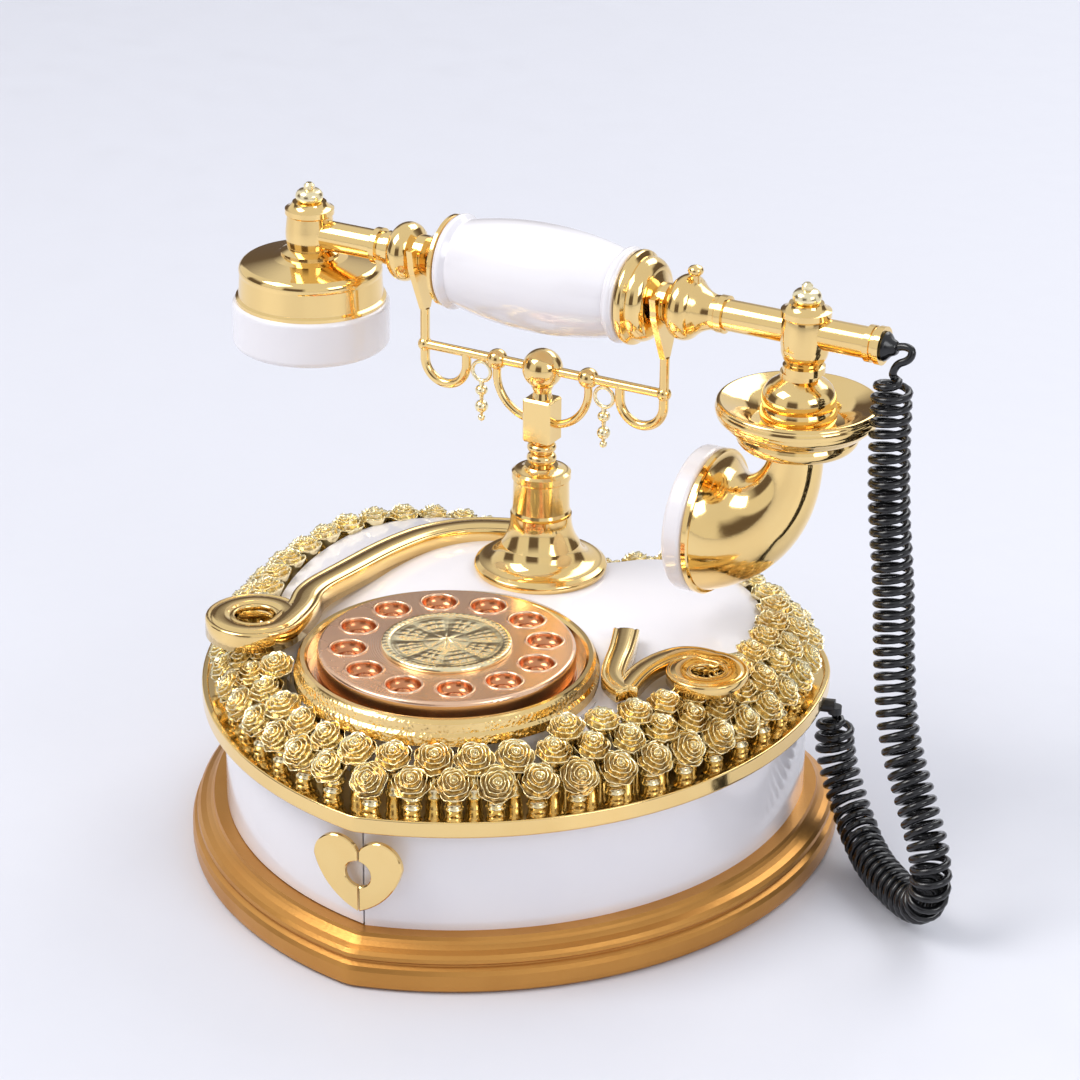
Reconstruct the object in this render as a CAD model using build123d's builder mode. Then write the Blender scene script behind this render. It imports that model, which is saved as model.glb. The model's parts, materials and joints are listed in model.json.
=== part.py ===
"""A heart-shaped French-style cradle telephone, as separate solids in one frame (mm).

Origin: middle of the plinth's underside.  +X to the right of the dial, +Y to the back, +Z up.
The two halves of the body meet on the YZ plane; the left half is a drawer that swings out.
"""
import os
from math import atan2, cos, degrees, pi, radians, sin, sqrt

from build123d import *

os.makedirs("parts", exist_ok=True)

# ---------------------------------------------------------------- driving dimensions (mm)
CLEARANCE = 0.05          # radial clearance of every running fit

# Heart outline: lobe circles, long side arcs, a round tip and a round cleft
LOBE_X, LOBE_Y, LOBE_RADIUS = 43.7, 39.4, 56.3
SIDE_RADIUS = 123.3
SIDE_END = 12.0           # degrees: where the side arc runs into the lobe
SIDE_X = LOBE_X - (SIDE_RADIUS - LOBE_RADIUS) * cos(radians(SIDE_END))
SIDE_Y = LOBE_Y - (SIDE_RADIUS - LOBE_RADIUS) * sin(radians(SIDE_END))
TIP_RADIUS = 14.0
TIP_RADIUS_LEAST = 3.0
CLEFT_RADIUS = 4.0
CLEFT_Y = LOBE_Y + sqrt((LOBE_RADIUS + CLEFT_RADIUS) ** 2 - LOBE_X ** 2)

# Levels
PLINTH_TOP = 15.3
DECK = 2.5                # thickness of the plinth's top deck
BODY_TOP = 49.6
TRAY_TOP = 53.3
RIM_TOP = 55.0
LID_TOP = 79.5
SEAT = 71.6               # where the dial's bezel sits in the lid

# Insets from the plinth's outline
COVER_INSET = 12.0
BODY_INSET = 11.0
RIM_INSET = 4.2
LID_INSET = 26.5
WALL = 2.5
SEAM = 0.3                # half the gap between the two body halves
DRAWER_GAP = 0.3          # play above and below the drawer

# Drawer pivot, just in front of the cleft
PIVOT_X, PIVOT_Y = -14.0, 62.0
PIVOT_RADIUS = 2.5
HEEL_RADIUS = 13.5        # the drawer's round heel, which turns clear of the other half

# Dial
DIAL_Y = -27.9
BEZEL_RADIUS = 46.1
WHEEL_RADIUS = 39.0
WHEEL_BOTTOM, WHEEL_TOP = 76.0, 82.2
FINGER_HOLES = 12
FINGER_HOLE_RADIUS = 5.4
FINGER_HOLE_CIRCLE = 29.6
FINGER_HOLE_DEPTH = 3.6
SPINDLE_RADIUS = 3.0
BUSH_RADIUS = 6.0

# Works under the lid: a gear on the dial's spindle drives the movement's gear
GEAR_MODULE = 1.0
DIAL_TEETH, MOVEMENT_TEETH = 28, 14
GEAR_BOTTOM, GEAR_THICK = 61.5, 3.0
GEAR_BEARING = 60.0       # degrees: direction from the dial gear to the movement gear

# Column and handset; the cradle is turned a little, right end forward
COLUMN_Y = 40.9
HANDSET_YAW = -4.5
HANDSET_Z = 176.2
BAR_Z = 146.6
COLUMN_BORE = 2.1

# Handset stations, measured along it from the column
EAR_S, MOUTH_S, ROD_END_S = -84.0, 88.0, 113.4
ROD_RADIUS = 4.8
TIE_RADIUS = 3.0
CUP_RADIUS = 14.4

# Cord: one fat tube of the coil's outer diameter
CORD_RADIUS = 6.5
CORD_ROUTE = [
    (97.2, 50.0, 44.2),
    (97.2, 50.0, 34.0),
    (101.5, 47.2, 23.0),
    (109.0, 40.5, 12.5),
    (118.5, 29.0, 7.2),
    (130.0, 16.5, 7.2),
    (142.0, 5.0, 8.8),
    (147.0, 0.0, 17.5),
    (146.0, 1.0, 29.5),
    (138.5, 7.5, 43.0),
    (129.5, 14.0, 60.0),
    (125.2, 19.5, 81.0),
    (122.5, 24.0, 104.0),
    (119.0, 26.0, 126.0),
    (117.7, 27.4, 144.0),
    (116.6, 29.8, 158.0),
    (116.6, 29.8, 168.8),
]

# ---------------------------------------------------------------- frames of reference
YAW = radians(HANDSET_YAW)
ALONG = Vector(cos(YAW), sin(YAW), 0)
ACROSS = Vector(-sin(YAW), cos(YAW), 0)
COLUMN = Vector(0, COLUMN_Y, 0)
# local x runs along the handset, local y is up, local z faces the front
FACE = Plane(origin=COLUMN, x_dir=ALONG, z_dir=-ACROSS)
HANDSET_AXIS = Axis(COLUMN + Vector(0, 0, HANDSET_Z), ALONG)
COLUMN_AXIS = Axis(COLUMN, (0, 0, 1))
DIAL_AXIS = Axis((0, DIAL_Y, 0), (0, 0, 1))


def station(s, z):
    """The point at distance s along the handset and height z."""
    return COLUMN + ALONG * s + Vector(0, 0, z)


def save(part, name):
    """Label a finished piece and write it."""
    part.label = name
    export_step(part, f"parts/{name}.step")
    print(f"{name:20s} {len(part.solids()):4d} solids {part.volume:12.1f} mm3")
    return part


# ---------------------------------------------------------------- the heart
def heart(inset, height=0.0):
    """The heart outline moved inwards by inset, as a flat sketch at the given height."""
    tip_radius = max(TIP_RADIUS - inset, TIP_RADIUS_LEAST)
    tip_y = SIDE_Y - sqrt((SIDE_RADIUS - inset - tip_radius) ** 2 - SIDE_X ** 2)
    side_start = degrees(atan2(tip_y - SIDE_Y, -SIDE_X))
    lobe_end = degrees(atan2(CLEFT_Y - LOBE_Y, -LOBE_X))
    with BuildSketch(Plane.XY.offset(height), mode=Mode.PRIVATE) as outline:
        with BuildLine():
            CenterArc((0, tip_y), tip_radius, -90, side_start + 90)
            CenterArc((SIDE_X, SIDE_Y), SIDE_RADIUS - inset, side_start, SIDE_END - side_start)
            CenterArc((LOBE_X, LOBE_Y), LOBE_RADIUS - inset, SIDE_END, lobe_end - SIDE_END)
            CenterArc((0, CLEFT_Y), CLEFT_RADIUS + inset, lobe_end - 180, 90 - lobe_end)
            mirror(about=Plane.YZ)
        make_face()
    return outline.sketch


def heart_block(inset, bottom, top):
    """A plain heart-shaped block."""
    with BuildPart(mode=Mode.PRIVATE) as block:
        with BuildSketch(Plane.XY.offset(bottom)):
            add(heart(inset))
        extrude(amount=top - bottom)
    return block.part


def half_block(inset, bottom, top, side, gap):
    """The part of a heart block on one side (-1 left, 1 right), gap away from the middle."""
    reach = 2 * LOBE_RADIUS
    with BuildPart(mode=Mode.PRIVATE) as block:
        with BuildSketch(Plane.XY.offset(bottom)):
            add(heart(inset))
            with Locations((side * (gap + reach / 2), 0)):
                Rectangle(reach, 4 * reach, mode=Mode.INTERSECT)
        extrude(amount=top - bottom)
    return block.part


def outline(points, away):
    """Draw a closed outline. A point's third number is how far the arc that reaches it bulges away."""
    for start, end in zip(points, points[1:] + points[:1]):
        first, last = Vector(*start[:2]), Vector(*end[:2])
        if len(end) == 3:
            chord = last - first
            normal = Vector(-chord.Y, chord.X).normalized()
            if normal.dot(away) < 0:
                normal = -normal
            ThreePointArc(first, (first + last) / 2 + normal * end[2], last)
        else:
            Line(first, last)


def turned(points, plane, axis, away):
    """A lathe-turned piece: the outline in plane, turned round axis."""
    with BuildPart(mode=Mode.PRIVATE) as piece:
        with BuildSketch(plane):
            with BuildLine():
                outline(points, away)
            make_face()
        revolve(axis=axis)
    return piece.part


def column_piece(points):
    """A piece turned about the column; points are (radius, height)."""
    front = Plane(origin=COLUMN, x_dir=(1, 0, 0), z_dir=(0, -1, 0))
    return turned(points, front, COLUMN_AXIS, Vector(1, 0))


def dial_piece(points):
    """A piece turned about the dial; points are (radius, height)."""
    front = Plane(origin=(0, DIAL_Y, 0), x_dir=(1, 0, 0), z_dir=(0, -1, 0))
    return turned(points, front, DIAL_AXIS, Vector(1, 0))


def handset_piece(points):
    """A piece turned about the handset; points are (distance along, radius)."""
    lifted = Plane(origin=COLUMN + Vector(0, 0, HANDSET_Z), x_dir=ALONG, z_dir=-ACROSS)
    return turned(points, lifted, HANDSET_AXIS, Vector(0, 1))


def post_piece(points, s):
    """A piece turned about an upright line at distance s along the handset."""
    foot = station(s, 0)
    front = Plane(origin=foot, x_dir=ALONG, z_dir=-ACROSS)
    return turned(points, front, Axis(foot, (0, 0, 1)), Vector(1, 0))


# ---------------------------------------------------------------- plinth and its cover
COVER_TOP = 3.0
COVER_PLAY = 0.2
SCREW_PLACES = [(0, -72), (-62, 0), (62, 0), (-42, 72), (42, 72)]
SCREW_RADIUS, SCREW_HEAD_RADIUS = 1.2, 2.8
SCREW_SUNK = 0.4

# moulding profile, from the table up: inset, height
PLINTH_PROFILE = [
    (1.2, 0.0), (0.2, 1.0), (0.0, 2.5), (0.0, 6.0), (0.6, 7.4), (2.0, 8.2), (2.0, 8.8),
    (1.5, 9.4), (1.7, 10.6), (2.6, 11.6), (4.4, 12.4), (5.8, 13.4), (6.6, 14.2), (7.0, PLINTH_TOP),
]

with BuildPart() as plinth:
    with BuildSketch():
        add(heart(PLINTH_PROFILE[0][0]))
    for inset, height in PLINTH_PROFILE[1:]:
        with BuildSketch(Plane.XY.offset(height)):
            add(heart(inset))
    loft(ruled=True)
    add(heart_block(COVER_INSET - COVER_PLAY, 0, COVER_TOP + COVER_PLAY), mode=Mode.SUBTRACT)
    add(heart_block(COVER_INSET + WALL, COVER_TOP, PLINTH_TOP - DECK), mode=Mode.SUBTRACT)
    with BuildSketch(Plane.XY.offset(COVER_TOP + COVER_PLAY)):
        with Locations(*SCREW_PLACES):
            Circle(4)
    extrude(amount=PLINTH_TOP - DECK - COVER_TOP - COVER_PLAY)
    with BuildSketch(Plane.XY.offset(COVER_TOP)):
        with Locations(*SCREW_PLACES):
            Circle(SCREW_RADIUS + CLEARANCE)
    extrude(amount=8, mode=Mode.SUBTRACT)
    with BuildSketch(Plane.XY.offset(PLINTH_TOP - DECK)):
        with Locations((PIVOT_X, PIVOT_Y)):
            Circle(PIVOT_RADIUS + 0.02)
    extrude(amount=DECK, mode=Mode.SUBTRACT)
save(plinth.part, "plinth")

with BuildPart() as base_cover:
    add(heart_block(COVER_INSET, 0, COVER_TOP))
    with BuildSketch():
        with Locations(*SCREW_PLACES):
            Circle(SCREW_HEAD_RADIUS + 0.2)
    extrude(amount=1.8, mode=Mode.SUBTRACT)
    with BuildSketch(Plane.XY):
        with Locations(*SCREW_PLACES):
            Circle(SCREW_RADIUS + 0.3)
    extrude(amount=COVER_TOP + COVER_PLAY, mode=Mode.SUBTRACT)
save(base_cover.part, "base_cover")

with BuildPart() as base_screws:
    with BuildSketch(Plane.XY.offset(SCREW_SUNK)):
        with Locations(*SCREW_PLACES):
            Circle(SCREW_HEAD_RADIUS)
    extrude(amount=1.4)
    with BuildSketch(Plane.XY.offset(SCREW_SUNK + 1.4)):
        with Locations(*SCREW_PLACES):
            Circle(SCREW_RADIUS)
    extrude(amount=8.5)
save(base_screws.part, "base_screws")

# ---------------------------------------------------------------- body: fixed half and drawer
CORD_BEARING = degrees(atan2(CORD_ROUTE[0][1] - LOBE_Y, CORD_ROUTE[0][0] - LOBE_X))
SOCKET_Z = 46.6
SOCKET_RADIUS = 2.2
BODY_RADIUS = LOBE_RADIUS - BODY_INSET
OUTWARD = Vector(cos(radians(CORD_BEARING)), sin(radians(CORD_BEARING)), 0)
SOCKET_WALL = Vector(LOBE_X, LOBE_Y, SOCKET_Z) + OUTWARD * BODY_RADIUS

with BuildPart() as right_body_half:
    add(half_block(BODY_INSET, PLINTH_TOP, BODY_TOP, 1, SEAM))
    add(half_block(BODY_INSET + WALL, PLINTH_TOP + WALL, BODY_TOP, 1, SEAM + WALL), mode=Mode.SUBTRACT)
    with BuildSketch(Plane(origin=SOCKET_WALL - OUTWARD * 2 * WALL, z_dir=OUTWARD)):
        Circle(SOCKET_RADIUS)
    extrude(amount=4 * WALL, mode=Mode.SUBTRACT)
save(right_body_half.part, "right_body_half")

DRAWER_BOTTOM = PLINTH_TOP + DRAWER_GAP
DRAWER_TOP = BODY_TOP - DRAWER_GAP

# what lies outside the drawer's round heel, between the pivot and the other half
with BuildPart(mode=Mode.PRIVATE) as heel_corner:
    with BuildSketch(Plane.XY.offset(DRAWER_BOTTOM)):
        with Locations((PIVOT_X, PIVOT_Y)):
            Rectangle(20, 30, align=(Align.MIN, Align.MIN))
            Circle(HEEL_RADIUS, mode=Mode.SUBTRACT)
    extrude(amount=DRAWER_TOP - DRAWER_BOTTOM)


def drawer_well(inset, gap, heel, bottom, top):
    """The hollow of the drawer, or what lines it: the half heart less the pivot's heel."""
    with BuildPart(mode=Mode.PRIVATE) as well:
        add(half_block(inset, bottom, top, -1, gap))
        with BuildSketch(Plane.XY.offset(bottom)):
            with Locations((PIVOT_X, PIVOT_Y)):
                Circle(heel)
        extrude(amount=top - bottom, mode=Mode.SUBTRACT)
    return well.part.solids().sort_by(SortBy.VOLUME)[-1]


with BuildPart() as left_drawer:
    add(half_block(BODY_INSET, DRAWER_BOTTOM, DRAWER_TOP, -1, SEAM))
    add(heel_corner.part, mode=Mode.SUBTRACT)
    well = drawer_well(BODY_INSET + WALL, SEAM + WALL, HEEL_RADIUS, DRAWER_BOTTOM + WALL, DRAWER_TOP)
    add(well, mode=Mode.SUBTRACT)
    with BuildSketch(Plane.XY):
        with Locations((PIVOT_X, PIVOT_Y)):
            Circle(PIVOT_RADIUS + CLEARANCE)
    extrude(amount=BODY_TOP, mode=Mode.SUBTRACT)
save(left_drawer.part, "left_drawer")

LINING_PLAY = 0.3
LINING_THICK = 1.5
with BuildPart() as drawer_lining:
    floor = DRAWER_BOTTOM + WALL
    add(drawer_well(BODY_INSET + WALL + LINING_PLAY, SEAM + WALL + LINING_PLAY,
                    HEEL_RADIUS + LINING_PLAY, floor, floor + LINING_THICK))
save(drawer_lining.part, "drawer_lining")

with BuildPart() as drawer_pivot_pin:
    with BuildSketch(Plane.XY.offset(PLINTH_TOP - DECK)):
        with Locations((PIVOT_X, PIVOT_Y)):
            Circle(PIVOT_RADIUS)
    extrude(amount=TRAY_TOP - 0.2 - PLINTH_TOP + DECK)
    chamfer(drawer_pivot_pin.faces().sort_by(Axis.Z)[-1].edges(), 0.5)
save(drawer_pivot_pin.part, "drawer_pivot_pin")

# ---------------------------------------------------------------- heart clasp, one half on each side
CLASP_Z = 34.3
CLASP_WIDTH, CLASP_THICK = 28.6, 1.6
CLASP_STANDOFF = 2.2
TIP_Y = -95.75 + BODY_INSET
CLASP_HOLE_RADIUS = 4.2
CLASP_LOBE = 7.6          # radius of the clasp's lobes
CLASP_POST_X, CLASP_POST_Z = 7.5, 34.3


def clasp_half(side):
    """One half of the split heart plate, with the post that holds it off the body."""
    front = Plane(origin=(0, TIP_Y - CLASP_STANDOFF, 0), x_dir=(1, 0, 0), z_dir=(0, -1, 0))
    lobe_x = CLASP_WIDTH / 2 - CLASP_LOBE
    lobe_z = CLASP_Z + 4.0
    with BuildPart(mode=Mode.PRIVATE) as half:
        with BuildSketch(front):
            with BuildLine():
                Line((side * SEAM, CLASP_Z - 12.4), (side * SEAM, CLASP_Z + 7.6))
                ThreePointArc((side * SEAM, CLASP_Z + 7.6),
                              (side * lobe_x, lobe_z + CLASP_LOBE),
                              (side * CLASP_WIDTH / 2, lobe_z))
                ThreePointArc((side * CLASP_WIDTH / 2, lobe_z),
                              (side * 9.6, CLASP_Z - 5.6),
                              (side * SEAM, CLASP_Z - 12.4))
            make_face()
            with Locations((0, CLASP_Z)):
                Circle(CLASP_HOLE_RADIUS, mode=Mode.SUBTRACT)
        extrude(amount=CLASP_THICK)
        chamfer(half.faces().sort_by(Axis.Y)[0].edges(), 0.3)
        with BuildSketch(front):
            with Locations((side * CLASP_POST_X, CLASP_POST_Z)):
                Circle(2.0)
        extrude(amount=-(CLASP_STANDOFF + 8))
        body_side = half_block(BODY_INSET, PLINTH_TOP, BODY_TOP, side, 0)
        add(body_side, mode=Mode.SUBTRACT)
    return half.part


save(clasp_half(-1), "clasp_left")
save(clasp_half(1), "clasp_right")

# ---------------------------------------------------------------- rose tray with its rim
WORKS_WINDOW = (40, 34)
MOVEMENT_X = GEAR_MODULE * (DIAL_TEETH + MOVEMENT_TEETH) / 2 * cos(radians(GEAR_BEARING))
MOVEMENT_Y = DIAL_Y + GEAR_MODULE * (DIAL_TEETH + MOVEMENT_TEETH) / 2 * sin(radians(GEAR_BEARING))
WINDOW_X, WINDOW_Y = MOVEMENT_X + 14, MOVEMENT_Y
LID_SCREW_PLACES = [(-45, 52), (45, 52), (-53, -8), (53, -8)]
LID_SCREW_RADIUS = 1.5

with BuildPart() as rose_tray:
    add(heart_block(RIM_INSET, BODY_TOP, RIM_TOP))
    add(heart_block(RIM_INSET + 2.0, TRAY_TOP, RIM_TOP), mode=Mode.SUBTRACT)
    fillet(rose_tray.edges().group_by(Axis.Z)[-1], 0.5)
    fillet(rose_tray.edges().group_by(Axis.Z)[0], 1.0)
    with BuildSketch(Plane.XY.offset(BODY_TOP)):
        with Locations((WINDOW_X, WINDOW_Y)):
            RectangleRounded(*WORKS_WINDOW, 3)
        with Locations((PIVOT_X, PIVOT_Y)):
            Circle(PIVOT_RADIUS + 0.02)
        with Locations(COLUMN):
            Circle(COLUMN_BORE)
        with Locations(*LID_SCREW_PLACES):
            Circle(LID_SCREW_RADIUS + 0.2)
    extrude(amount=RIM_TOP - BODY_TOP, mode=Mode.SUBTRACT)
    with BuildSketch(Plane.XY.offset(BODY_TOP)):
        with Locations(*LID_SCREW_PLACES):
            Circle(3.2)
    extrude(amount=2.0, mode=Mode.SUBTRACT)
save(rose_tray.part, "rose_tray")

# ---------------------------------------------------------------- rows of gilt roses
ROSE_HEAD, ROSE_STEM = 4.1, 2.4
ROSE_COUNT = 46           # places in a row; a place too close to its neighbour stays empty
ROSE_MIDDLE_INSET = 17.3
ROSE_ROW_GAP = 5.1
ROSE_UNDER_DIAL = SEAT - 0.5


def stands_clear(place, others):
    """Whether a bud at place would keep clear of the buds already placed."""
    return all((place - other).length > 2 * ROSE_HEAD + 0.1 for other in others)


def rose_places(row):
    """Where the buds of a row stand: row is -1 outer, 0 middle, 1 inner; neighbours are staggered."""
    path = heart(ROSE_MIDDLE_INSET).wire()
    places = []
    for i in range(ROSE_COUNT):
        share = (i + (0.5 if row == 0 else 0.0)) / ROSE_COUNT
        tangent = path.tangent_at(share)
        inward = Vector(-tangent.Y, tangent.X)
        place = path.position_at(share) + inward * (row * ROSE_ROW_GAP)
        if stands_clear(place, places):
            places.append(place)
    return places


def rose_row(row, top):
    """One row of rose buds on their stems, lower where the dial's bezel overhangs them."""
    reach = BEZEL_RADIUS + ROSE_HEAD + 0.3
    upright = (Align.CENTER, Align.CENTER, Align.MIN)
    beside, under = [], []
    for place in rose_places(row):
        if (place - Vector(0, DIAL_Y, 0)).length > reach:
            beside.append(place)
        elif row < 1 or stands_clear(place, rose_places(0)):
            under.append(place)
    with BuildPart() as buds:
        for places, crown in ((beside, top), (under, min(top, ROSE_UNDER_DIAL))):
            neck = crown - 1.4 * ROSE_HEAD
            brim = crown - 0.6 * ROSE_HEAD
            if places:
                with Locations(*[(p.X, p.Y, TRAY_TOP) for p in places]):
                    Cylinder(ROSE_STEM, neck - TRAY_TOP, align=upright)
                with Locations(*[(p.X, p.Y, neck) for p in places]):
                    Cone(ROSE_STEM, ROSE_HEAD, brim - neck, align=upright)
                with Locations(*[(p.X, p.Y, brim) for p in places]):
                    Cone(ROSE_HEAD, 0.5 * ROSE_HEAD, crown - brim, align=upright)
    return buds.part


save(rose_row(-1, 66.0), "roses_outer")
save(rose_row(0, 71.4), "roses_middle")
save(rose_row(1, 76.0), "roses_inner")

# ---------------------------------------------------------------- lid
LID_EDGE = 5.0
DOME_RADIUS = 400.0
MOUNT_BOSS = 4.0
CEILING = 73.1            # underside of the lid behind the dial

with BuildPart(mode=Mode.PRIVATE) as lid_envelope:
    add(heart_block(LID_INSET, TRAY_TOP, LID_TOP))
    fillet(lid_envelope.faces().sort_by(Axis.Z)[-1].edges(), LID_EDGE)
    with Locations((0, COLUMN_Y, LID_TOP - DOME_RADIUS)):
        Sphere(DOME_RADIUS, rotation=(90, 0, 0), mode=Mode.INTERSECT)
    # the level seat of the dial stands out of the falling front of the dome
    with BuildSketch(Plane.XY.offset(TRAY_TOP)):
        add(heart(LID_INSET))
        with Locations((0, DIAL_Y)):
            Circle(BEZEL_RADIUS + 1.5, mode=Mode.INTERSECT)
    extrude(amount=SEAT - TRAY_TOP)

with BuildPart(mode=Mode.PRIVATE) as lid_hollow:
    add(heart_block(LID_INSET + WALL, TRAY_TOP, SEAT - WALL))
    with BuildSketch(Plane.XY.offset(SEAT - WALL)):
        add(heart(LID_INSET + 2 * WALL))
        with Locations((0, DIAL_Y)):
            Circle(BEZEL_RADIUS + WALL, mode=Mode.SUBTRACT)
    extrude(amount=CEILING - SEAT + WALL)
    with Locations((0, COLUMN_Y, LID_TOP - DOME_RADIUS)):
        Sphere(DOME_RADIUS - WALL, rotation=(90, 0, 0), mode=Mode.INTERSECT)
    # bosses for the screws are left standing
    with BuildSketch(Plane.XY.offset(TRAY_TOP)):
        with Locations(*LID_SCREW_PLACES):
            Circle(MOUNT_BOSS)
    extrude(amount=LID_TOP - TRAY_TOP, mode=Mode.SUBTRACT)

with BuildPart() as lid:
    add(lid_envelope.part)
    with BuildSketch(Plane.XY.offset(SEAT)):
        with Locations((0, DIAL_Y)):
            Circle(BEZEL_RADIUS + 0.1)
    extrude(amount=LID_TOP - SEAT, mode=Mode.SUBTRACT)
    add(lid_hollow.part, mode=Mode.SUBTRACT)
    with BuildSketch(Plane.XY.offset(TRAY_TOP)):
        with Locations(*LID_SCREW_PLACES):
            Circle(LID_SCREW_RADIUS + CLEARANCE)
    extrude(amount=9, mode=Mode.SUBTRACT)
    with BuildSketch(Plane.XY.offset(TRAY_TOP)):
        with Locations(COLUMN):
            Circle(COLUMN_BORE)
        with Locations((0, DIAL_Y)):
            Circle(BUSH_RADIUS + 0.02)
    extrude(amount=LID_TOP - TRAY_TOP, mode=Mode.SUBTRACT)
save(lid.part, "lid")

with BuildPart() as lid_screws:
    with BuildSketch(Plane.XY.offset(BODY_TOP + 0.2)):
        with Locations(*LID_SCREW_PLACES):
            Circle(3.0)
    extrude(amount=1.8)
    with BuildSketch(Plane.XY.offset(BODY_TOP + 2.0)):
        with Locations(*LID_SCREW_PLACES):
            Circle(LID_SCREW_RADIUS)
    extrude(amount=10)
save(lid_screws.part, "lid_screws")

# ---------------------------------------------------------------- dial
PLATE_TOP = SEAT + 2.2
dial_bezel = dial_piece([
    (42.0, SEAT), (BEZEL_RADIUS, SEAT), (BEZEL_RADIUS, SEAT + 3.0), (45.2, SEAT + 3.9),
    (45.0, SEAT + 6.6), (44.1, SEAT + 7.8), (42.8, SEAT + 7.8), (42.0, SEAT + 7.0),
])
save(dial_bezel, "dial_bezel")

dial_plate = dial_piece([
    (BUSH_RADIUS + 0.02, SEAT), (41.95, SEAT), (41.95, PLATE_TOP), (BUSH_RADIUS + 0.02, PLATE_TOP),
])
save(dial_plate, "dial_plate")

SPINDLE_TOP = 80.0
with BuildPart() as finger_wheel:
    with BuildSketch(Plane.XY.offset(WHEEL_BOTTOM)):
        with Locations((0, DIAL_Y)):
            Circle(WHEEL_RADIUS)
    extrude(amount=WHEEL_TOP - WHEEL_BOTTOM)
    fillet(finger_wheel.faces().sort_by(Axis.Z)[-1].edges(), 1.2)
    with BuildSketch(Plane.XY.offset(WHEEL_TOP - FINGER_HOLE_DEPTH)):
        with Locations((0, DIAL_Y)):
            with PolarLocations(FINGER_HOLE_CIRCLE, FINGER_HOLES):
                Circle(FINGER_HOLE_RADIUS)
    extrude(amount=FINGER_HOLE_DEPTH, mode=Mode.SUBTRACT)
    with BuildSketch(Plane.XY.offset(WHEEL_TOP - FINGER_HOLE_DEPTH)):
        with Locations((0, DIAL_Y)):
            with PolarLocations(FINGER_HOLE_CIRCLE, FINGER_HOLES):
                Circle(2.4)
    extrude(amount=1.2, taper=20)
    with BuildSketch(Plane.XY.offset(WHEEL_BOTTOM)):
        with Locations((0, DIAL_Y)):
            Circle(SPINDLE_RADIUS + 0.02)
    extrude(amount=SPINDLE_TOP - WHEEL_BOTTOM, mode=Mode.SUBTRACT)
save(finger_wheel.part, "finger_wheel")

MEDALLION_RADIUS = 19.8
dial_medallion = dial_piece([
    (0, WHEEL_TOP), (MEDALLION_RADIUS, WHEEL_TOP), (MEDALLION_RADIUS, WHEEL_TOP + 0.8),
    (MEDALLION_RADIUS - 1.2, WHEEL_TOP + 1.3, 0.2), (7.0, WHEEL_TOP + 1.4), (5.0, WHEEL_TOP + 2.0),
    (0, WHEEL_TOP + 2.2),
])
save(dial_medallion, "dial_medallion")

BUSH_FLANGE = 2.0
SPINDLE_BOTTOM = 60.0
dial_spindle = dial_piece([
    (0, SPINDLE_BOTTOM), (SPINDLE_RADIUS, SPINDLE_BOTTOM), (SPINDLE_RADIUS, SPINDLE_TOP), (0, SPINDLE_TOP),
])
save(dial_spindle, "dial_spindle")

spindle_bush = dial_piece([
    (SPINDLE_RADIUS + CLEARANCE, SEAT - WALL - BUSH_FLANGE), (9.0, SEAT - WALL - BUSH_FLANGE),
    (9.0, SEAT - WALL), (BUSH_RADIUS, SEAT - WALL), (BUSH_RADIUS, WHEEL_BOTTOM - 0.3),
    (SPINDLE_RADIUS + CLEARANCE, WHEEL_BOTTOM - 0.3),
])
save(spindle_bush, "spindle_bush")


def gear(teeth, bore, first_tooth):
    """A plain spur gear with straight-sided teeth, round the origin of the current location."""
    pitch = GEAR_MODULE * teeth / 2
    tip = pitch + 0.7 * GEAR_MODULE
    root = pitch - 1.2 * GEAR_MODULE
    with BuildSketch(mode=Mode.PRIVATE) as wheel:
        Circle(root)
        with PolarLocations(0, teeth, first_tooth):
            Polygon((root - 0.4, -0.7), (pitch, -0.55), (tip, -0.25), (tip, 0.25),
                    (pitch, 0.55), (root - 0.4, 0.7), align=None)
        Circle(bore, mode=Mode.SUBTRACT)
    return wheel.sketch


with BuildPart() as dial_gear:
    with BuildSketch(Plane(origin=(0, DIAL_Y, GEAR_BOTTOM))):
        add(gear(DIAL_TEETH, SPINDLE_RADIUS + 0.02, GEAR_BEARING))
    extrude(amount=GEAR_THICK)
save(dial_gear.part, "dial_gear")

ARBOR_RADIUS = 1.5
MOVEMENT_TOP = 59.4
with BuildPart() as movement_gear:
    half_tooth = 180 / MOVEMENT_TEETH
    with BuildSketch(Plane(origin=(MOVEMENT_X, MOVEMENT_Y, GEAR_BOTTOM))):
        add(gear(MOVEMENT_TEETH, 1.0, GEAR_BEARING + 180 + half_tooth))
    extrude(amount=GEAR_THICK)
    with BuildSketch(Plane.XY.offset(MOVEMENT_TOP - 6)):
        with Locations((MOVEMENT_X, MOVEMENT_Y)):
            Circle(ARBOR_RADIUS)
    extrude(amount=GEAR_BOTTOM + GEAR_THICK - MOVEMENT_TOP + 6)
save(movement_gear.part, "movement_gear")

with BuildPart() as movement_case:
    with BuildSketch(Plane.XY.offset(36)):
        with Locations((WINDOW_X, WINDOW_Y)):
            RectangleRounded(WORKS_WINDOW[0] - 3, WORKS_WINDOW[1] - 3, 2)
    extrude(amount=MOVEMENT_TOP - 36)
    with BuildSketch(Plane.XY.offset(TRAY_TOP)):
        with Locations((WINDOW_X, WINDOW_Y)):
            RectangleRounded(WORKS_WINDOW[0] + 4, WORKS_WINDOW[1] + 4, 3)
    extrude(amount=1.5)
    with BuildSketch(Plane.XY.offset(MOVEMENT_TOP - 6.5)):
        with Locations((MOVEMENT_X, MOVEMENT_Y)):
            Circle(ARBOR_RADIUS + CLEARANCE)
    extrude(amount=7, mode=Mode.SUBTRACT)
save(movement_case.part, "movement_case")

# ---------------------------------------------------------------- gilt scrolls on the lid
SCROLL_WIDTH = 10.0


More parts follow.
